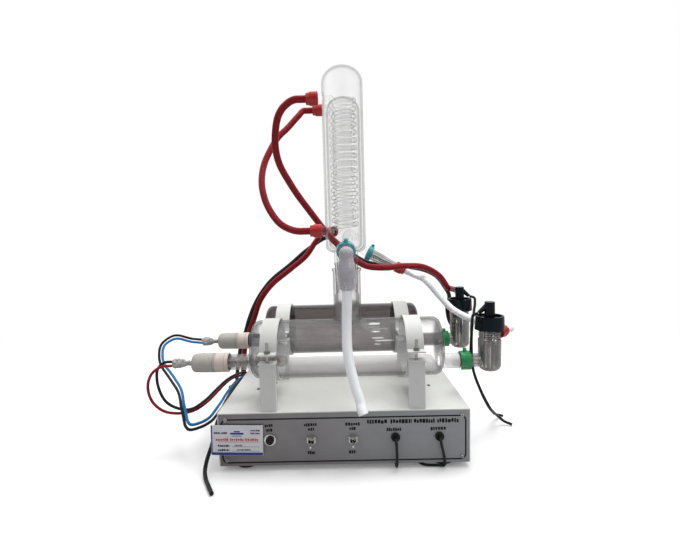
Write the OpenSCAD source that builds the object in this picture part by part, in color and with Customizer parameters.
// Bench-top double-distillation still: two horizontal glass boilers on a sheet-metal
// control box, a coil condenser standing on each boiler, a heater in the left end and a
// level sensor in the right end of each. Frame: +X right, +Y back, +Z up, millimetres.
// The origin is the middle of the footprint, on the bench.

/* [Control box] */
// Width of the box
box_w = 404; // [396:1:420]
// Depth of the box
box_d = 310; // [300:2:330]
// Height of the box without its feet
box_h = 88; // [84:1:94]
// Height of the feet
foot_h = 9; // [8:1:12]
// Thickness of the sheet metal
sheet = 1.5; // [1:0.1:2]

/* [Boilers] */
// Outer radius of the boiler glass
boiler_r = 50; // [48:1:51]
// Height of the boiler axes above the bench
axis_z = 182; // [180:1:184]
// Place of the front boiler axis
front_y = -84; // [-86:1:-82]
// Place of the rear boiler axis
rear_y = 69; // [67:1:71]
// Wall of the boiler glass
boiler_wall = 3; // [2.5:0.5:3.5]
// Left ends of the front and rear boilers
boiler_left = [-156, -159];
// Right ends of the front and rear boilers
boiler_right = [172, 156];

/* [Condensers] */
// Place of both condenser axes across the box
condenser_x = 11.5; // [8:0.5:14]
// Outer radius of the condenser jacket
jacket_r = 34; // [33:0.5:35]
// Underside of the condenser jacket
jacket_bottom = 348; // [346:1:350]
// Top of the condenser dome
jacket_top = 652; // [648:1:656]
// Wall of the condenser glass
jacket_wall = 2; // [1.5:0.5:2.5]
// Outer radius of the neck on each boiler
neck_r = 23.5; // [23:0.5:24]
// Top of the boiler neck
neck_top = 320; // [318:1:322]
// Turns of the cooling coil
coil_turns = 17; // [15:1:18]
// Radius of the coil's centre line
coil_r = 19; // [18:0.5:20]
// Radius of the coil tube
coil_tube_r = 4; // [3.5:0.5:4]

/* [Clamps] */
// Distance of each clamp from the middle
clamp_x = 119.5; // [118:0.5:121]
// Width of the clamp bands
band_w = 28; // [26:1:30]
// Thickness of the clamp bands
band_t = 2.4; // [2:0.1:2.5]
// Thickness of the soft liner between band and glass
liner_t = 1; // [0.8:0.1:1]
// Width of the posts
post_w = 25; // [24:1:26]
// Depth of the posts
post_d = 12.5; // [12:0.5:12.5]

/* [Hoses and wires] */
// Outer radius of the cooling-water hose
hose_r = 6; // [5.5:0.1:6]
// Bore radius of the cooling-water hose
hose_bore_r = 4; // [4:0.1:4.2]
// Outer radius of the silicone distillate tube
tube_r = 6; // [5.6:0.1:6]
// Outer radius of the outlet tube
outlet_tube_r = 7.5; // [7:0.5:7.5]
// Radius of the heater wires
wire_r = 2.5; // [2:0.1:2.5]

/* [Moving parts] */
// Throw of a toggle lever, degrees from off to on
toggle_throw = 26; // [20:1:28]
// Travel of the push button
button_travel = 2.5; // [2:0.5:3]
// Lift of a level float
float_lift = 12; // [8:1:14]

/* [Hidden] */
$fn = 64;

front_face = -box_d / 2;
box_top = foot_h + box_h;
row_y = [front_y, rear_y];
gap = 0.2;                                   // clearance between parts that lie together
panel_t = 2;
panel_z = foot_h + box_h / 2;
switch_z = 51;
toggle_x = [-52, 15];
button_x = -118;
gland_x = [83, 153];
heater_z = axis_z - 22;
sensor_z = axis_z - 28;
stub_r = 13.5;                               // glass stubs on the boiler ends
cap_start = -198;                            // right end of the heater collars
elbow_x = [256, 246];
elbow_r = 19.5;
elbow_bottom = 136;
elbow_top = [214, 221];
cap_bottom = [208, 215];
cap_h = 24;
band_inner = boiler_r + liner_t + 0.1;
band_outer = band_inner + band_t;
flange_gap = 6;                              // half the gap between a clamp's flanges
flange_len = 15;
bolt_y = band_outer + flange_len / 2;        // clamp bolt, from the boiler axis
post_top = axis_z - flange_gap - band_t;
cone_r = 20;                                 // ground joint under the condenser
cone_h = 38;
// water nozzles, low and high, on the front and rear jackets: heights and directions
nozzle_z = [[385, 602], [385, 628]];
nozzle_dir = [[[-1, 0, 0], [-1, 0, 0]], [[-0.6, 0.8, 0], [-1, 0, 0]]];
nozzle_r = 8;
red = [0.62, 0.05, 0.09];
off_white = [0.83, 0.84, 0.80];
glass = [0.85, 0.88, 0.88, 0.45];
steel = [0.72, 0.72, 0.72];
black = [0.10, 0.10, 0.11];

// ---------- general shapes ----------
function unit(v) = v / norm(v);

// a cylinder from p along direction d
module rod(p, d, h, r1, r2 = undef) {
    u = unit(d);
    translate(p) rotate([0, acos(u[2]), atan2(u[1], u[0])])
        cylinder(h = h, r1 = r1, r2 = is_undef(r2) ? r1 : r2);
}

// a round profile spun about the line from p along d; points are [radius, distance]
module spun(p, d, points) {
    u = unit(d);
    translate(p) rotate([0, acos(u[2]), atan2(u[1], u[0])]) rotate_extrude() polygon(points);
}

// a block centred on x and y that stands on z
module block(size, at) {
    translate([at[0] - size[0] / 2, at[1] - size[1] / 2, at[2]]) cube(size);
}

// quarter arc in a profile, as [radius, distance] points
function arc(c, r, a0, a1, n = 6) =
    [for (i = [0:n]) let (a = a0 + (a1 - a0) * i / n) [c[0] + r * cos(a), c[1] + r * sin(a)]];

// a pan-head screw on a face: head out along d, shank in
module screw(p, d, head_r, head_h, shank_r, shank_len) {
    rod(p, d, head_h, head_r, head_r * 0.8);
    rod(p + unit(d) * 0.01, -d, shank_len, shank_r);
}

// smooth curve through points, with the same number of steps in each stretch
function slope(p, i) = i == 0 ? unit(p[1] - p[0]) : i == len(p) - 1 ? unit(p[i] - p[i - 1])
    : let (a = p[i] - p[i - 1], b = p[i + 1] - p[i])
        (norm(b) * unit(a) + norm(a) * unit(b)) / (norm(a) + norm(b));
function curve(p, steps) = [for (i = [0:len(p) - 2])
    let (l = norm(p[i + 1] - p[i]), u = l * slope(p, i), v = l * slope(p, i + 1))
    for (s = [0:steps - 1]) let (t = s / steps)
        p[i] * (1 - t * t * (3 - 2 * t)) + p[i + 1] * t * t * (3 - 2 * t)
            + u * t * (1 - t) * (1 - t) - v * t * t * (1 - t),
    p[len(p) - 1]];

function direction(p, i) = unit(p[min(i + 1, len(p) - 1)] - p[max(i - 1, 0)]);
function square_to(v, d) = unit(v - d * (v * d));
// side vectors carried along a path without twisting
function sides(p) = [for (i = 0, s = square_to([0.31, 0.23, 0.92], direction(p, 0)); i < len(p);
    i = i + 1, s = i < len(p) ? square_to(s, direction(p, i)) : s) s];
function ring(c, d, s, r, n) = let (w = cross(d, s))
    [for (k = [0:n - 1]) c + r * (cos(360 * k / n) * s + sin(360 * k / n) * w)];

// a round strand along a path, n-sided
module strand(path, r, n = 8) {
    s = sides(path);
    m = len(path);
    points = [for (i = [0:m - 1]) each ring(path[i], direction(path, i), s[i], r, n)];
    faces = concat(
        [[for (k = [0:n - 1]) k]],
        [for (i = [0:m - 2], k = [0:n - 1]) let (a = i * n + k, b = i * n + (k + 1) % n) [a, a + n, b]],
        [for (i = [0:m - 2], k = [0:n - 1]) let (a = i * n + k, b = i * n + (k + 1) % n) [b, a + n, b + n]],
        [[for (k = [n - 1:-1:0]) (m - 1) * n + k]]);
    polyhedron(points, faces);
}

// ---------- control box ----------
module base_tray() {
    color(off_white) difference() {
        block([box_w - 2 * sheet - 2 * gap, box_d - 2 * panel_t - 2 * gap, 22], [0, 0, foot_h]);
        block([box_w - 4 * sheet - 2 * gap, box_d - 2 * panel_t - 2 * gap - 2 * sheet, 22],
            [0, 0, foot_h + sheet]);
        for (x = [-1, 1], y = [-1, 1])
            translate([x * foot_x, y * foot_y, foot_h - 1]) cylinder(r = 2.3, h = 5);
        for (x = [-1, 1], y = cover_screw_y)
            rod([x * (box_w / 2 + 5), y, screw_low_z], [-x, 0, 0], 12, screw_hole_r);
        for (x = [-1, 1], y = [-1, 1])
            rod([x * panel_screw_x, y * (box_d / 2 + 1), screw_low_z], [0, -y, 0], 12, screw_hole_r);
    }
}
foot_x = 162;
foot_y = box_d / 2 - 25;
panel_screw_x = box_w / 2 - 13;
cover_screw_y = [-100, 0, 100];
screw_low_z = foot_h + 10;                   // rows of screws near the bottom and the top
screw_high_z = box_top - 10;
screw_hole_r = 1.7;
screw_shank_r = 1.5;

module top_cover() {
    color(off_white) difference() {
        block([box_w, box_d, box_h], [0, 0, foot_h]);
        block([box_w - 2 * sheet, box_d + 2, box_h], [0, 0, foot_h - sheet]);
        for (x = [-1, 1], y = cover_screw_y)
            rod([x * (box_w / 2 + 5), y, screw_low_z], [-x, 0, 0], 12, screw_hole_r);
        for (p = top_screw_places) translate([p[0], p[1], box_top - 5]) cylinder(r = 2.1, h = 10);
        for (y = row_y, x = [-1, 1])
            translate([x * clamp_x, y - bolt_y, box_top - 5]) cylinder(r = 2.7, h = 10);
        for (y = grommet_y) rod([-box_w / 2 - 1, y, grommet_z], [1, 0, 0], 4, bush_r + 0.1);
    }
    color(off_white) for (x = [-1, 1], y = [-1, 1]) difference() {
        block([lug_w, sheet, lug_h], [x * (box_w / 2 - sheet - lug_w / 2),
            y * (box_d / 2 - panel_t - gap - sheet / 2), box_top - sheet - lug_h]);
        rod([x * panel_screw_x, y * (box_d / 2 + 1), screw_high_z], [0, -y, 0], 12, screw_hole_r);
    }
}
lug_w = 14;                                  // folded lugs that take the panel screws
lug_h = 20;
top_screw_places = [for (x = [-157, 157], y = [-49, 104]) [x, y]];
grommet_y = [40, 62, 84];
grommet_z = box_top - 15;

module panel_plate(y, holes) {
    difference() {
        block([box_w - 2 * sheet - 2 * gap, panel_t, box_h - sheet - gap], [0, y, foot_h]);
        for (x = [-1, 1], z = [screw_low_z, screw_high_z])
            rod([x * panel_screw_x, y - 5, z], [0, 1, 0], 10, screw_hole_r);
        for (h = holes) rod([h[0], y - 5, h[1]], [0, 1, 0], 10, h[2]);
    }
}

module front_panel() {
    holes = concat([for (x = toggle_x) [x, switch_z, 6.1]], [for (x = gland_x) [x, switch_z + 2, 6.1]],
        [[button_x, switch_z + 2, 8.1]]);
    color([0.62, 0.61, 0.62]) panel_plate(front_face + panel_t / 2, holes);
}

module rear_panel() {
    color([0.62, 0.61, 0.62]) difference() {
        panel_plate(-front_face - panel_t / 2, [[fuse_x, panel_z, 6.1]]);
        for (i = [0:8]) block([3, 10, 36], [40 + i * 9, -front_face, panel_z - 18]);
    }
}
fuse_x = -120;

module panel_screws() {
    color(steel) for (x = [-1, 1], y = [-1, 1], z = [screw_low_z, screw_high_z])
        screw([x * panel_screw_x, y * box_d / 2, z], [0, y, 0], 3.6, 1.8, screw_shank_r, 7);
}

module cover_screws() {
    color(steel) for (x = [-1, 1], y = cover_screw_y)
        screw([x * box_w / 2, y, screw_low_z], [x, 0, 0], 3.4, 1.8, screw_shank_r, 7);
}

module top_screws() {
    color([0.3, 0.3, 0.3]) for (p = top_screw_places)
        screw([p[0], p[1], box_top], [0, 0, 1], 3.2, 1.4, 1.9, 8);
}

module feet() {
    color(black) for (x = [-1, 1], y = [-1, 1]) translate([x * foot_x, y * foot_y, 0]) difference() {
        rotate_extrude() polygon([[0, 0], [14, 0], [18, 1.6], [20.5, 4.2], [21, foot_h], [0, foot_h]]);
        translate([0, 0, -1]) cylinder(r = 4.4, h = 5);
        cylinder(r = 2.3, h = foot_h + 1);
    }
}

module foot_screws() {
    color(steel) for (x = [-1, 1], y = [-1, 1]) translate([x * foot_x, y * foot_y, 0]) {
        translate([0, 0, 1.6]) cylinder(r = 3.6, h = 2.4);
        translate([0, 0, 1.6]) cylinder(r = 1.9, h = foot_h + 4);
        translate([0, 0, foot_h + sheet]) cylinder(r = 3.8, h = 3, $fn = 6);
    }
}

// ---------- front panel controls ----------
module toggle_bodies() {
    color(steel) for (x = toggle_x) difference() {
        union() {
            translate([x, 0, switch_z]) block([13, 20, 13], [0, front_face + panel_t + 10, -6.5]);
            rod([x, front_face - 7, switch_z], [0, 1, 0], 7 + panel_t + 1, 6);
        }
        rod([x, front_face - 8, switch_z], [0, 1, 0], 9, 4.6);
        translate([x, front_face + pivot_in, switch_z]) sphere(r = 4.6);
        rod([x - pin_half, front_face + pivot_in, switch_z], [1, 0, 0], 2 * pin_half, pin_r + 0.05);
    }
}
pivot_in = 1;                                // lever pivot, behind the panel's face
pin_r = 1.2;
pin_half = 5.6;

module toggle_nuts() {
    color(steel) for (x = toggle_x) difference() {
        rod([x, front_face - 2.6, switch_z], [0, 1, 0], 2.6 - 0.02, 8, 8, $fn = 6);
        rod([x, front_face - 4, switch_z], [0, 1, 0], 8, 6.05);
    }
}

module toggle_lever(x) {
    color([0.8, 0.8, 0.8]) translate([x, front_face + pivot_in, switch_z]) {
        sphere(r = 4.5);
        rod([0.1 - pin_half, 0, 0], [1, 0, 0], 2 * pin_half - 0.2, pin_r);
        rod([0, 0, 0], lever_dir, 19, 1.5, 2.3);
        translate(19 * lever_dir) sphere(r = 2.3);
    }
}
lever_dir = [0, -cos(toggle_throw / 2), -sin(toggle_throw / 2)];
module toggle_lever_left() { toggle_lever(toggle_x[0]); }
module toggle_lever_right() { toggle_lever(toggle_x[1]); }

button_r = 6.44;
button_bore = 6.5;
button_front = front_face - 4.5 - button_travel;
module button_bezel() {
    color([0.8, 0.8, 0.8]) difference() {
        union() {
            rod([button_x, front_face - 3, switch_z + 2], [0, 1, 0], 3 - 0.02, 9.5);
            rod([button_x, front_face - 3, switch_z + 2], [0, 1, 0], 20, 8);
        }
        rod([button_x, front_face - 4, switch_z + 2], [0, 1, 0], 19, button_bore);
    }
}

module push_button() {
    color(black) {
        rod([button_x, button_front, switch_z + 2], [0, 1, 0], 14, button_r);
        rod([button_x, button_front - 1, switch_z + 2], [0, 1, 0], 1.01, 5.6, button_r);
    }
}

module panel_glands() {
    color(black) for (x = gland_x) difference() {
        union() {
            rod([x, front_face - 3, switch_z + 2], [0, 1, 0], 3 - 0.02, 7.2);
            rod([x, front_face - 3, switch_z + 2], [0, 1, 0], 3 + panel_t + 1.5, 6);
            rod([x, front_face + panel_t + 0.02, switch_z + 2], [0, 1, 0], 1.48, 7.2);
        }
        rod([x, front_face - 4, switch_z + 2], [0, 1, 0], 20, 2.8);
    }
}

// short leads that leave the glands, drop down the panel and go under the box: the left one
// straight back, the right one in front of its foot
module panel_leads() {
    y = front_face;
    low = [[[0.5, y - 13, 31], [0.5, y - 12, 14], [1, y - 3, 5], [1, y + 15, 3.4], [1, y + 34, 3.4]],
        [[4, y - 9.5, 31], [7, y - 6.5, 14], [7, y - 1.5, 4.8], [-2, y + 2.2, 3], [-26, y + 6, 3.2],
        [-36, y + 26, 3.4]]];
    color(black) for (i = [0, 1]) let (x = gland_x[i]) strand(curve(concat([
        [x, y + 12, switch_z + 2], [x, y - 4, switch_z + 2], [x, y - 7, switch_z + 2],
        [x, y - 12, switch_z - 3]], [for (p = low[i]) p + [x, 0, 0]]), 4), 2.2);
}

module nameplate() {
    color([0.9, 0.9, 0.92]) translate([-171, front_face - 3, 54]) rotate([0, 1.5, 0])
        block([84, 1, 50], [0, 0, -25]);
    color([0.5, 0.5, 0.5]) for (z = [42, 66])
        block([14, 2.6, 10], [-166, front_face - 1.32, z - 5]);
}

// ---------- inside the box ----------
module control_board() {
    color([0.1, 0.4, 0.2]) difference() {
        block([130, 90, 1.6], [60, 30, foot_h + sheet + 12]);
        for (p = board_holes) translate([p[0], p[1], foot_h]) cylinder(r = 1.7, h = 30);
    }
    color([0.2, 0.2, 0.2]) for (i = [0:3])
        block([16, 12, 9], [15 + i * 26, 45, foot_h + sheet + 13.6]);
    color([0.75, 0.72, 0.6]) block([60, 9, 11], [60, 0, foot_h + sheet + 13.6]);
}
board_holes = [for (x = [0, 120], y = [-10, 70]) [x, y]];

module board_standoffs() {
    color([0.75, 0.65, 0.3]) for (p = board_holes) {
        translate([p[0], p[1], foot_h + sheet]) cylinder(r = 3, h = 12, $fn = 6);
        translate([p[0], p[1], foot_h + sheet + 11.5]) cylinder(r = 1.6, h = 3);
        translate([p[0], p[1], foot_h + sheet + 13.6]) cylinder(r = 2.8, h = 1.8);
    }
}

module heater_relays() {
    color([0.25, 0.25, 0.3]) for (y = [-60, -5]) difference() {
        block([46, 44, 34], [-60, y, foot_h + sheet]);
        for (x = [-1, 1]) block([9, 20, 10], [-60 + x * 18, y, foot_h + sheet + 24.1]);
    }
}

module transformer() {
    color([0.3, 0.32, 0.35]) difference() {
        block([52, 44, 44], [-60, 78, foot_h + sheet]);
        for (y = [-1, 1]) block([60, 12, 26], [-60, 78 + y * 17, foot_h + sheet + 10]);
    }
    color([0.75, 0.45, 0.2]) for (y = [-1, 1]) block([30, 10, 24], [-60, 78 + y * 16.9, foot_h + sheet + 11]);
}

module terminal_block() {
    color([0.85, 0.85, 0.8]) difference() {
        block([22, 90, 18], [-140, 20, foot_h + sheet]);
        for (i = [0:7]) block([30, 7, 8], [-140, -17 + i * 10.6, foot_h + sheet + 12]);
    }
}

module fuse_holder() {
    color(black) {
        rod([fuse_x, -front_face - 30, panel_z], [0, 1, 0], 30 - panel_t, 6);
        rod([fuse_x, -front_face - 5, panel_z], [0, 1, 0], 5.02, 6);
        rod([fuse_x, -front_face + 0.02, panel_z], [0, 1, 0], 9, 8, 7);
    }
}

// ---------- mains cord and the wire bushes in the left side ----------
module side_grommets() {
    color(black) for (y = grommet_y) difference() {
        union() {
            rod([-box_w / 2 - 2, y, grommet_z], [1, 0, 0], 2 + sheet + 1.5, bush_r);
            rod([-box_w / 2 - 2, y, grommet_z], [1, 0, 0], 1.98, bush_r + 2);
            rod([-box_w / 2 + sheet + 0.02, y, grommet_z], [1, 0, 0], 1.48, bush_r + 2);
        }
        rod([-box_w / 2 - 5, y, grommet_z], [1, 0, 0], 12, bush_r - 1);
    }
}
bush_r = 6.4;

module mains_cord() {
    s = -box_w / 2;
    color(black) strand(curve([
        [s + 24, 40, grommet_z], [s - 4, 40, grommet_z], [s - 8, 39, grommet_z], [s - 13, 30, grommet_z + 2],
        [s - 14, 10, grommet_z + 4], [s - 12, -40, grommet_z + 3], [s - 10, -100, grommet_z - 4],
        [s - 10, -132, 66], [s - 13, -148, 43], [s - 19, -160, 21], [s - 20, -168, 9],
        [s - 15, -180, 4.2], [s - 4, -200, 3.6], [s + 7, -219, 3.6]], 5), 3.2, 10);
}

// ---------- clamps ----------
module posts() {
    color(off_white) for (y = row_y, x = [-1, 1]) difference() {
        block([post_w, post_d, post_top - box_top], [x * clamp_x, y - bolt_y, box_top]);
        block([post_w - 4, post_d - 4, post_top - box_top + 1], [x * clamp_x, y - bolt_y, box_top - 3]);
        translate([x * clamp_x, y - bolt_y, post_top - 5]) cylinder(r = 2.6, h = 10);
    }
}

// half a band with its two flanges; up is 1 for the upper half, -1 for the lower
module half_band(x, y, up) {
    translate([x, y, axis_z]) mirror([0, 0, up < 0 ? 1 : 0]) difference() {
        union() {
            intersection() {
                rod([-band_w / 2, 0, 0], [1, 0, 0], band_w, band_outer);
                block([band_w + 2, 4 * boiler_r, 2 * boiler_r], [0, 0, flange_gap]);
            }
            for (s = [-1, 1]) block([band_w, flange_len + 4, band_t],
                [0, s * (band_outer + flange_len / 2 - 2), flange_gap]);
        }
        rod([-band_w, 0, 0], [1, 0, 0], 2 * band_w, band_inner);
        for (s = [-1, 1]) translate([0, s * bolt_y, 0]) cylinder(r = 2.6, h = 20);
        if (up < 0) translate([0, 0, band_inner - 5]) cylinder(r = 2.1, h = 20);
    }
}
module lower_bands() { color(off_white) for (y = row_y, x = [-1, 1]) half_band(x * clamp_x, y, -1); }
module upper_bands() { color(off_white) for (y = row_y, x = [-1, 1]) half_band(x * clamp_x, y, 1); }

module band_liners() {
    color([0.8, 0.82, 0.8]) for (y = row_y, x = [-1, 1], up = [-1, 1]) difference() {
        intersection() {
            rod([x * clamp_x - band_w / 2 + 1, y, axis_z], [1, 0, 0], band_w - 2, boiler_r + liner_t);
            block([band_w, 4 * boiler_r, 2 * boiler_r],
                [x * clamp_x, y, axis_z + (up > 0 ? 8 : -8 - 2 * boiler_r)]);
        }
        rod([x * clamp_x - band_w, y, axis_z], [1, 0, 0], 2 * band_w, boiler_r + 0.05);
    }
}

module clamp_bolts() {
    top = axis_z + flange_gap + band_t;
    color(steel) for (y = row_y, x = [-1, 1]) {
        translate([x * clamp_x, y - bolt_y, box_top - 9.5]) cylinder(r = 2.4, h = top - box_top + 9.5 + 18);
        translate([x * clamp_x, y - bolt_y, box_top - sheet - 4.02]) cylinder(r = 4, h = 4, $fn = 6);
        translate([x * clamp_x, y + bolt_y, axis_z - flange_gap - band_t]) {
            translate([0, 0, -4]) cylinder(r = 4.2, h = 3.98, $fn = 6);
            translate([0, 0, -3]) cylinder(r = 2.4, h = 2 * flange_gap + 2 * band_t + 12);
        }
        translate([x * clamp_x, y, axis_z - band_outer - 10]) cylinder(r = 1.9, h = 10 + band_t);
    }
}

module nut(p, r, h, bore) {
    translate(p) difference() {
        cylinder(r = r, h = h, $fn = 6);
        translate([0, 0, -1]) cylinder(r = bore, h = h + 2);
    }
}

module clamp_nuts() {
    top = axis_z + flange_gap + band_t;
    color([0.45, 0.45, 0.44]) for (y = row_y, x = [-1, 1]) {
        for (s = [-1, 1]) nut([x * clamp_x, y + s * bolt_y, top + 0.02], 5, 4, 2.42);
        for (z = [3.22, 9.8]) nut([x * clamp_x, y, axis_z - band_outer - z], 4, 3.2, 1.92);
    }
}

// ---------- boilers ----------
// profile of a closed tube with rounded, slightly domed ends, as [radius, distance]
function vessel(r, l, corner, dome, n = 6) = concat(
    [[0, 0]], arc([r - corner, corner + dome], corner, -90, 0, n),
    arc([r - corner, l - corner - dome], corner, 0, 90, n), [[0, l]]);

module boiler(i) {
    y = row_y[i];
    x0 = boiler_left[i];
    len_x = boiler_right[i] - x0;
    w = boiler_wall;
    color(glass) difference() {
        union() {
            spun([x0, y, axis_z], [1, 0, 0], vessel(boiler_r, len_x, 12, 2));
            translate([condenser_x, y, axis_z + boiler_r - 10])
                cylinder(r = neck_r, h = neck_top - axis_z - boiler_r + 10);
            translate([condenser_x, y, axis_z + boiler_r - 6]) cylinder(r1 = neck_r + 8, r2 = neck_r, h = 12);
            translate([condenser_x, y, neck_top - 4]) cylinder(r = neck_r + 1.6, h = 4);
            rod([cap_start - 8, y, heater_z], [1, 0, 0], x0 - cap_start + 14, stub_r);
            rod([boiler_right[i] - 6, y, sensor_z], [1, 0, 0], 6 + stub_len[i], stub_r);
        }
        spun([x0 + w, y, axis_z], [1, 0, 0], vessel(boiler_r - w, len_x - 2 * w, 10, 2));
        spun([condenser_x, y, axis_z], [0, 0, 1], [[0, 0], [neck_r - 2.5, 0],
            [neck_r - 2.5, socket_low - 8], [cone_r - 2.5, socket_low - 2],
            [cone_r - 2.5, neck_top - axis_z + 1], [0, neck_top - axis_z + 1]]);
        translate([condenser_x, y, neck_top - cone_h])
            cylinder(r1 = cone_low_r + 0.05, r2 = cone_r + 0.05, h = cone_h);
        translate([condenser_x, y, neck_top - 0.01]) cylinder(r = cone_r + 0.05, h = 1);
        rod([cap_start - 10, y, heater_z], [1, 0, 0], x0 - cap_start + 22, stub_r - 2);
        rod([boiler_right[i] - 12, y, sensor_z], [1, 0, 0], 14 + stub_len[i], socket_bore);
    }
}
socket_low = neck_top - cone_h - axis_z;     // bottom of the ground socket, from the axis
cone_low_r = cone_r - cone_h / 20;           // a 1 in 10 taper
stub_len = [41, 57];
socket_bore = 10;
module front_boiler() { boiler(0); }
module rear_boiler() { boiler(1); }

// ---------- condensers ----------
jacket_h = jacket_top - jacket_bottom;
function jacket_points(r, lift, drop) = concat(
    [[0, lift]], arc([r - 12, lift + 12], 12, -90, 0),
    [for (i = [0:8]) let (a = 90 * i / 8) [r * cos(a), jacket_h - drop - (r - 7) + (r - 7) * sin(a)]]);

// the outlet of the front condenser points forward, that of the rear one to the right
outlet_dir = [[0, -0.94, -0.34], [0.89, 0, -0.456]];
outlet_z = [366, 362];
outlet_len = [jacket_r + 9, jacket_r + 20];

module condenser(i) {
    y = row_y[i];
    at = [condenser_x, y, jacket_bottom];
    out = [condenser_x, y, outlet_z[i]];
    color(glass) {
        difference() {
            union() {
                spun(at, [0, 0, 1], jacket_points(jacket_r, 0, 0));
                translate([condenser_x, y, neck_top + 3]) cylinder(r = cone_r, h = jacket_bottom - neck_top);
                for (k = [0, 1]) let (d = nozzle_dir[i][k], p = [condenser_x, y, nozzle_z[i][k]]) {
                    rod(p + (jacket_r - 8) * d, d, 25, nozzle_r);
                    rod(p + (jacket_r - 8) * d, d, 13, nozzle_r + 3.5, nozzle_r);
                }
                rod(out + unit(outlet_dir[i]) * 20, outlet_dir[i], outlet_len[i] - 20, 8);
                rod(out + unit(outlet_dir[i]) * (outlet_len[i] - 4), outlet_dir[i], 4, 12.5);
                translate([condenser_x, y, neck_top - cone_h])
                    cylinder(r1 = cone_low_r, r2 = cone_r, h = cone_h);
                translate([condenser_x, y, neck_top - 0.01]) cylinder(r = cone_r, h = 4);
            }
            difference() {
                spun(at, [0, 0, 1], jacket_points(jacket_r - jacket_wall, jacket_wall, jacket_wall));
                translate([condenser_x, y, jacket_bottom]) cylinder(r = vapour_r + 2, h = 12);
            }
            translate([condenser_x, y, neck_top - cone_h - 1]) cylinder(r = cone_r - 4.5, h = cone_h + 20);
            translate([condenser_x, y, neck_top - 10]) cylinder(r = vapour_r, h = 80);
            for (k = [0, 1]) let (d = nozzle_dir[i][k])
                rod([condenser_x, y, nozzle_z[i][k]] + 14 * d, d, 40, nozzle_r - 2.5);
            rod(out + unit(outlet_dir[i]) * 20, outlet_dir[i], outlet_len[i], 5.5);
        }
    }
}
vapour_r = 6;
module front_condenser() { condenser(0); }
module rear_condenser() { condenser(1); }

// one glass tube: in at the lower nozzle, up the coil and out at the upper nozzle
coil_steps = 12;
function coil_path(i) = let (low = nozzle_dir[i][0], high = nozzle_dir[i][1], z = nozzle_z[i],
    c = [condenser_x, row_y[i], 0], a0 = atan2(low[1], low[0]), turn = 360 * coil_turns + 180 - a0,
    m = round(turn * coil_steps / 360)) concat(
    [c + 30 * low + [0, 0, z[0]], c + 24 * low + [0, 0, z[0] + 1]],
    [for (k = [0:m]) let (a = a0 + turn * k / m)
        c + [coil_r * cos(a), coil_r * sin(a), z[0] + 4 + (z[1] - z[0] - 3) * k / m]],
    [c + 24 * high + [0, 0, z[1]], c + 30 * high + [0, 0, z[1]]]);
module cooling_coils() { color(glass) for (i = [0, 1]) strand(coil_path(i), coil_tube_r, 6); }

// the inverted U that carries vapour from the joint into the jacket
u_bend_r = 8.5;
module vapour_tubes() {
    z = jacket_bottom + 24;
    color(glass) for (y = row_y) strand(concat(
        [[condenser_x, y, jacket_bottom + 12.1], [condenser_x, y, jacket_bottom + 18]],
        [for (a = [180:-22.5:0]) [condenser_x + u_bend_r * (1 + cos(a)), y, z + u_bend_r * sin(a)]],
        [[condenser_x + 2 * u_bend_r, y, jacket_bottom + 18]]), vapour_r - 0.5, 10);
}

// ---------- heaters ----------
sheath_r = 10;
sheath_end = -106;
module heater_sheaths() {
    color([0.8, 0.8, 0.82, 0.6]) for (y = row_y) difference() {
        union() {
            rod([cap_start - 26, y, heater_z], [1, 0, 0], sheath_end - cap_start + 26, sheath_r);
            translate([sheath_end, y, heater_z]) sphere(r = sheath_r);
        }
        rod([cap_start - 27, y, heater_z], [1, 0, 0], sheath_end - cap_start + 27, sheath_r - 1.6);
        translate([sheath_end, y, heater_z]) sphere(r = sheath_r - 1.6);
    }
}

module heater_elements() {
    color([0.5, 0.48, 0.45]) for (y = row_y) {
        rod([cap_start - 50, y, heater_z], [1, 0, 0], sheath_end - cap_start + 48, 3);
        for (i = [0:9]) rod([cap_start - 20 + i * 11, y, heater_z], [1, 0, 0], 7, 7.6);
        for (s = [-1, 1]) rod([cap_start - 72, y, heater_z + s * 2.2], [1, 0, 0], 23, 1.2);
    }
}

collar_len = 22;
module heater_collars() {
    color([0.78, 0.72, 0.68]) for (y = row_y) difference() {
        spun([cap_start, y, heater_z], [-1, 0, 0],
            [[0, 0], [16.2, 0], [17, 1], [17, collar_len], [0, collar_len]]);
        rod([cap_start + 1, y, heater_z], [-1, 0, 0], 11, stub_r + 0.1);
        rod([cap_start + 1, y, heater_z], [-1, 0, 0], 40, sheath_r + 0.1);
    }
}

module heater_caps() {
    color([0.68, 0.67, 0.63]) for (y = row_y) difference() {
        spun([cap_start - collar_len - 0.1, y, heater_z], [-1, 0, 0],
            concat([[0, 0], [17, 0], [16.6, 29]], arc([9, 35], 7.4, 0, 90, 5), [[0, 42.4]]));
        rod([cap_start - collar_len, y, heater_z], [-1, 0, 0], 27, sheath_r + 0.1);
        rod([cap_start - collar_len, y, heater_z], [-1, 0, 0], 50, 5);
        rod([cap_start - 44, y, heater_z], [0, 0, 1], 30, 1.6);
    }
}

module lead_sleeves() {
    color([0.8, 0.8, 0.77]) for (y = row_y) difference() {
        spun([cap_start - 65, y, heater_z], [-1, 0, 0],
            [[0, 0], [4, 0], [4.6, 8], [4.6, 12], [8, 16], [9, 22], [8.6, 32], [7, 35], [0, 35]]);
        for (s = [-1, 1]) rod([cap_start - 64, y, heater_z + s * 2.2], [-1, 0, 0], 9.2, 1.3);
    }
}

sleeve_end = cap_start - 100.5;
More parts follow.
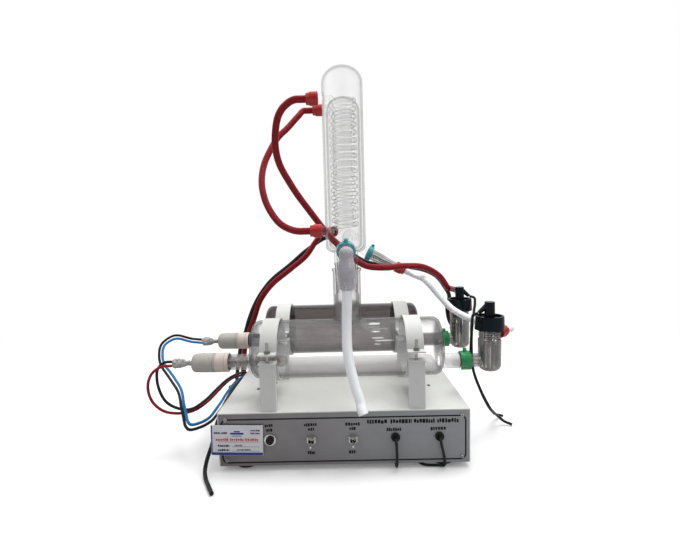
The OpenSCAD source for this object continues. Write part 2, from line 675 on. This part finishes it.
// the two wires of a heater share a bush: one lies above the other
bush_z = [grommet_z + 2.6, grommet_z - 2.6];
module front_heater_wires() {
    x = sleeve_end;
    color(red) strand(curve([[x, -84, 163], [x - 14, -84, 162], [x - 27, -84, 151],
        [x - 30, -84, 134], [x - 27, -84, 112], [x - 16, -84, 90], [-296, -83, 78], [-277, -78, 73],
        [-258, -52, 78], [-246, -22, 87], [-236, 14, 93], [-226, 48, 93], [-216, 78, 87],
        [-209, 84, bush_z[0]], [-206, 84, bush_z[0]], [-184, 84, bush_z[0]]], 3), wire_r, 6);
    color(black) strand(curve([[x, -89, 157], [x - 14, -90, 157], [x - 32, -90, 148],
        [x - 43, -89, 130], [x - 45, -88, 112], [x - 38, -87, 90], [x - 20, -86, 74],
        [-294, -82, 68], [-274, -71, 67], [-258, -43, 71], [-248, -12, 78], [-240, 20, 84],
        [-231, 54, 85], [-218, 79, 81], [-209, 84, bush_z[1]], [-206, 84, bush_z[1]],
        [-184, 84, bush_z[1]]], 3), wire_r, 6);
}

module rear_heater_wires() {
    x = sleeve_end;
    color([0.1, 0.3, 0.6]) strand(curve([[x, 69, 157], [x - 24, 69, 160], [x - 52, 58, 170],
        [x - 67, 38, 162], [x - 62, 14, 139], [-328, -20, 117], [-298, -56, 101], [-277, -96, 80],
        [-261, -117, 63], [-244, -98, 60], [-234, -50, 66], [-229, 6, 76], [-219, 52, 82],
        [-209, 62, bush_z[0]], [-206, 62, bush_z[0]], [-184, 62, bush_z[0]]], 3), wire_r, 6);
    color(black) strand(curve([[x, 72, 163], [x - 24, 72, 166], [x - 54, 58, 177],
        [x - 73, 38, 165], [x - 68, 12, 138], [-334, -22, 113], [-303, -58, 97], [-281, -98, 76],
        [-263, -121, 56], [-242, -102, 54], [-229, -50, 60], [-223, 6, 70], [-216, 50, 77],
        [-209, 62, bush_z[1]], [-206, 62, bush_z[1]], [-184, 62, bush_z[1]]], 3), wire_r, 6);
}

// ---------- level sensors ----------
// an elbow: a cone into the boiler socket, an arm, and an upright cup with a thread
function cup_profile(inset, h, over) = concat([[0, inset]],
    arc([elbow_r - 11, 11], 11 - inset, -90, 0), [[elbow_r - inset, h - 24], [17.5 - inset, h - 20]],
    inset > 0 ? [] : [for (z = [h - 18, h - 14, h - 10], p = [[17.5, 0], [18.8, 0.8], [17.5, 1.6]])
        p + [0, z]],
    [[17.5 - inset, h + over], [0, h + over]]);
side_nozzle = [[0.8, 0.6, 0], [0, 1, 0]];
module sensor_elbows() {
    color(glass) for (i = [0, 1]) {
        y = row_y[i];
        x = elbow_x[i];
        end = boiler_right[i] + stub_len[i];
        cup_h = elbow_top[i] - elbow_bottom;
        difference() {
            union() {
                spun([x, y, elbow_bottom], [0, 0, 1], cup_profile(0, cup_h, 0));
                rod([end - 20, y, sensor_z], [1, 0, 0], x - end + 20, socket_bore - 0.05);
                rod([end + 0.1, y, sensor_z], [1, 0, 0], 3, stub_r);
                rod([end + 0.1, y, sensor_z], [1, 0, 0], x - end - 4, 11.5);
                rod([x, y, 199], side_nozzle[i], elbow_r + 18, nozzle_r);
                if (i == 1) rod([x, y, 168], side_nozzle[i], elbow_r + 18, nozzle_r);
            }
            spun([x, y, elbow_bottom], [0, 0, 1], cup_profile(2, cup_h, 1));
            rod([end - 21, y, sensor_z], [1, 0, 0], x - end + 21, 7.5);
            rod([x, y, 199], side_nozzle[i], 60, nozzle_r - 2.5);
            if (i == 1) rod([x, y, 168], side_nozzle[i], 60, nozzle_r - 2.5);
        }
    }
}

// spring clips that hold two flanges together: an open ring with a slot and a raised tab
module keck_clip(p, d, r, w, open) {
    difference() {
        union() {
            rod(p, d, w, r + 3);
            rod(p + unit(d) * w / 2, -open, r + 8, 3.4);
        }
        rod(p - unit(d), d, w + 2, r);
        translate(p + unit(d) * w / 2) rotate([0, acos(open[2]), atan2(open[1], open[0])])
            translate([0, 0, 2 * r]) cube([2 * w + 8, 1.15 * r, 4 * r], center = true);
    }
}

module sensor_clips() {
    color([0.1, 0.55, 0.3]) for (i = [0, 1])
        keck_clip([boiler_right[i] + stub_len[i] - 8.5, row_y[i], sensor_z],
            [1, 0, 0], stub_r + 0.1, 17, [0, 0, -1]);
}

module sensor_caps() {
    color(black) for (i = [0, 1]) translate([elbow_x[i], row_y[i], cap_bottom[i]]) difference() {
        cylinder(r1 = 25, r2 = 23.8, h = cap_h);
        translate([0, 0, -1]) cylinder(r = 17.7, h = elbow_top[i] - cap_bottom[i] + 1 + 6);
        translate([0, 0, cap_h - 4]) cylinder(r = 20.5, h = 5);
        cylinder(r = 9.2, h = cap_h);
    }
}

// sensor head: a plug on the cup's rim, a stem down into the cup and a knob above the cap
// with a sloping boot for the cable, to the left at the front and to the right at the rear
stem_r = 2.5;
float_rest = 146;                            // underside of a float at its lowest
float_r = 15;
float_h = 38;
boot_side = [-1, 1];
boot_end = [for (i = [0, 1]) [elbow_x[i] + 19 * boot_side[i], row_y[i], elbow_top[i] + 22.8]];
module sensor_heads() {
    color([0.15, 0.15, 0.16]) for (i = [0, 1]) {
        translate([elbow_x[i], row_y[i], elbow_top[i]]) {
            translate([0, 0, 0.1]) cylinder(r = 17.4, h = 5.5);
            translate([0, 0, 4]) cylinder(r = 9, h = 14);
            translate([0, 0, 17]) cylinder(r1 = 9, r2 = 8.5, h = 25);
        }
        translate([elbow_x[i], row_y[i], float_rest]) {
            translate([0, 0, -3]) cylinder(r = stem_r, h = elbow_top[i] - float_rest + 5);
            translate([0, 0, -3.2]) cylinder(r = 5, h = 3);
            translate([0, 0, float_h + float_lift + 0.2]) cylinder(r = 5, h = 2);
        }
        start = [elbow_x[i] + 4 * boot_side[i], row_y[i], elbow_top[i] + 36];
        rod(start, boot_end[i] - start, norm(boot_end[i] - start), 5, 3.4);
    }
}

module level_float(i) {
    color([0.7, 0.7, 0.72]) spun([elbow_x[i], row_y[i], float_rest], [0, 0, 1], [
        [stem_r + 0.08, 0], [float_r - 4, 0], [float_r, 4], [float_r, float_h - 4],
        [float_r - 4, float_h], [stem_r + 0.08, float_h]]);
}
module front_float() { level_float(0); }
module rear_float() { level_float(1); }

// both cables come down behind the front cup, one behind the other, and end loose on the bench
module sensor_cables() {
    x = elbow_x;
    color(black) {
        strand(curve([boot_end[0] + [-1, 0, -0.8], [x[0] - 27.5, -83, 233.5], [x[0] - 28.5, -80, 224],
            [x[0] - 28.5, -76, 213],
            [x[0] - 26, -67, 194], [231, -60, 161], [233, -58, 142], [238, -57, 121], [249, -57, 91],
            [265, -58, 58], [281, -36, 38], [299, -12, 18], [310, -10, 8], [324, -16, 3.2]], 4), 2.6);
        strand(curve([boot_end[1] + [2, -0.4, -1], [x[1] + 28, 63, 241], [x[1] + 27, 53, 232],
            [x[1] + 22, 42, 219], [258, 18, 200], [248, -8, 176], [244, -22, 150], [247, -27, 111],
            [258, -27, 80], [274, -26, 46], [289, -6, 26], [303, 14, 11], [320, 24, 3.2]], 4), 2.6);
    }
}

// ---------- hose caps, nozzles and hoses ----------
adaptor_len = 72;
adaptor_start = [condenser_x, row_y[1], outlet_z[1]] + outlet_len[1] * unit(outlet_dir[1]);
adaptor_end = adaptor_start + (adaptor_len + 0.1) * unit(outlet_dir[1]);
// start and direction of every glass nozzle that carries a screw cap
nozzles = concat(
    [for (i = [0, 1], k = [0, 1]) let (d = nozzle_dir[i][k])
        [[condenser_x, row_y[i], nozzle_z[i][k]] + (jacket_r + 17) * d, d]],
    [[adaptor_end, outlet_dir[1]]],
    [[[elbow_x[0], row_y[0], 199] + (elbow_r + 18) * side_nozzle[0], side_nozzle[0]]],
    [for (z = [199, 168]) [[elbow_x[1], row_y[1], z] + (elbow_r + 18) * side_nozzle[1], side_nozzle[1]]]);

module hose_caps() {
    color([0.78, 0.06, 0.08]) for (n = nozzles) difference() {
        spun(n[0] - 11 * unit(n[1]), n[1],
            [[0, 0], [11, 0], [11.4, 1], [11.4, 13], [10, 15], [9.4, 20], [0, 20]]);
        rod(n[0] - 12 * unit(n[1]), n[1], 15.2, nozzle_r + 0.1);
        rod(n[0] - 12 * unit(n[1]), n[1], 40, hose_r + 0.2);
    }
}

module hose_nozzles() {
    color([0.9, 0.9, 0.88]) for (n = nozzles) difference() {
        union() {
            rod(n[0] + 0.05 * unit(n[1]), n[1], 2, nozzle_r);
            rod(n[0] + unit(n[1]), n[1], 17, hose_bore_r - 0.5);
            rod(n[0] - 5 * unit(n[1]), n[1], 6, nozzle_r - 2.7);
        }
        rod(n[0] - 6 * unit(n[1]), n[1], 30, 2.2);
    }
}

// a hose starts on the axis of nozzle k and stays on it past the nozzle's end
function from_nozzle(k) = [for (far = [2.2, 20, 26]) nozzles[k][0] + unit(nozzles[k][1]) * far];
function to_nozzle(k) = let (p = from_nozzle(k)) [p[2], p[1], p[0]];

module hose(points, r, bore, n = 8, steps = 4) {
    path = curve(points, steps);
    m = len(path) - 1;
    difference() {
        strand(path, r, n);
        for (e = [[path[0], direction(path, 0)], [path[m], -direction(path, m)]])
            rod(e[0] - e[1], e[1], 18.5, bore);
    }
}

// supply: rear coil inlet down to the bench; transfer: rear coil outlet to front coil
// inlet; feed: front coil outlet to the rear level cup
module cooling_hoses() {
    color(red) {
        hose(concat(from_nozzle(2), [[-52, 134, 368], [-77, 126, 334], [-113, 120, 305],
            [-159, 118, 268], [-181, 118, 239], [-200, 124, 193], [-213, 132, 164], [-226, 142, 131],
            [-234, 152, 90], [-240, 162, 46], [-250, 172, 12], [-276, 186, 6.6]]), hose_r, hose_bore_r);
        hose(concat(from_nozzle(3), [[-76, 60, 616], [-96, 42, 589], [-113, 26, 568], [-127, 8, 539],
            [-136, -8, 512], [-137, -34, 468], [-121, -56, 424], [-94, -74, 394]], to_nozzle(0)),
            hose_r, hose_bore_r);
        hose(concat(from_nozzle(1), [[-88, -84, 588], [-103, -76, 545], [-102, -64, 510],
            [-83, -48, 468], [-52, -31, 421], [-10, -14, 366], [28, -5, 330], [49, 2, 317], [82, 10, 312],
            [127, 25, 313], [165, 38, 309], [201, 54, 288], [222, 71, 262], [236, 94, 256],
            [250, 112, 250], [259, 130, 238],
            [261, 148, 218], [256, 149, 206]], to_nozzle(6)), hose_r, hose_bore_r);
    }
}

module drain_hose() {
    color([0.1, 0.12, 0.18]) hose(concat(from_nozzle(7), [[243, 145, 178], [240, 151, 205], [243, 144, 232],
        [228, 130, 258], [206, 112, 283], [180, 100, 297], [137, 98, 306], [95, 104, 309], [52, 110, 319],
        [9, 120, 348], [-27, 142, 373], [-68, 148, 352], [-115, 135, 314], [-160, 128, 278], [-191, 128, 237],
        [-213, 134, 191], [-224, 142, 162], [-238, 152, 129], [-250, 166, 88], [-260, 182, 44],
        [-268, 198, 12], [-288, 216, 5.4]]), drain_r, drain_r - 0.9, 8, 3);
}
drain_r = 4.5;

module distillate_tube() {
    color([0.9, 0.9, 0.93]) hose(concat(from_nozzle(4), [[168, 36, 283], [191, 24, 256],
        [214, 6, 229], [236, -14, 216], [256, -20, 208], [278, -12, 202], [298, -14, 200], [309, -30, 199]],
        to_nozzle(5)), tube_r, hose_bore_r - 0.4);
}

// ---------- distillate outlets ----------
module outlet_clips() {
    color([0.2, 0.65, 0.7]) for (i = [0, 1]) {
        u = unit(outlet_dir[i]);
        keck_clip([condenser_x, row_y[i], outlet_z[i]] + (outlet_len[i] - 5) * u, u, 12.6, 10,
            i == 0 ? unit([0, 0.34, -0.94]) : unit([-0.456, 0, -0.89]));
    }
}

drip = [condenser_x, front_y, outlet_z[0]] + (outlet_len[0] + 13) * unit(outlet_dir[0]);
module outlet_adaptors() {
    u = unit(outlet_dir[0]);
    v = unit(outlet_dir[1]);
    color([0.75, 0.72, 0.82, 0.8]) difference() {
        union() {
            rod([condenser_x, front_y, outlet_z[0]] + (outlet_len[0] + 0.1) * u, u, 4, 12.5);
            rod([condenser_x, front_y, outlet_z[0]] + (outlet_len[0] + 0.1) * u, u, 13, 10);
            translate(drip) sphere(r = 12);
            spun(drip, [0, 0, -1], [[0, 0], [10.8, 0], [12, 12], [13.4, 22], [13.4, 28], [9, 38],
                [4.4, 38], [4.4, 55], [0, 55]]);
        }
        rod([condenser_x, front_y, outlet_z[0]] + outlet_len[0] * u, u, 15, 5);
        rod(drip, [0, 0, -1], 80, 3);
    }
    color(glass) difference() {
        spun(adaptor_start + 0.1 * v, v, [[0, 0], [12.5, 0], [12.5, 4], [11, 4], [11, 22],
            [nozzle_r, 44], [nozzle_r, adaptor_len], [0, adaptor_len]]);
        spun(adaptor_start, v, [[0, -1], [8.5, -1], [8.5, 22], [5.5, 38], [5.5, 100], [0, 100]]);
    }
}

module outlet_tube() {
    color([0.92, 0.92, 0.95]) hose([drip - [0, 0, 38.2], drip - [0, 0, 56], drip - [0, 0, 62],
        [drip[0] - 2, -135, 236], [10, -144, 190], [20, -158, 140], [33, -173, 99]],
        outlet_tube_r, 5, 10, 5);
}

base_tray();
top_cover();
front_panel();
rear_panel();
panel_screws();
cover_screws();
top_screws();
feet();
foot_screws();
toggle_bodies();
toggle_nuts();
toggle_lever_left();
toggle_lever_right();
button_bezel();
push_button();
panel_glands();
panel_leads();
nameplate();
control_board();
board_standoffs();
heater_relays();
transformer();
terminal_block();
fuse_holder();
side_grommets();
mains_cord();
posts();
lower_bands();
upper_bands();
band_liners();
clamp_bolts();
clamp_nuts();
front_boiler();
rear_boiler();
front_condenser();
rear_condenser();
cooling_coils();
vapour_tubes();
heater_sheaths();
heater_elements();
heater_collars();
heater_caps();
lead_sleeves();
front_heater_wires();
rear_heater_wires();
sensor_elbows();
sensor_clips();
sensor_caps();
sensor_heads();
front_float();
rear_float();
sensor_cables();
hose_caps();
hose_nozzles();
outlet_clips();
outlet_adaptors();
cooling_hoses();
drain_hose();
distillate_tube();
outlet_tube();
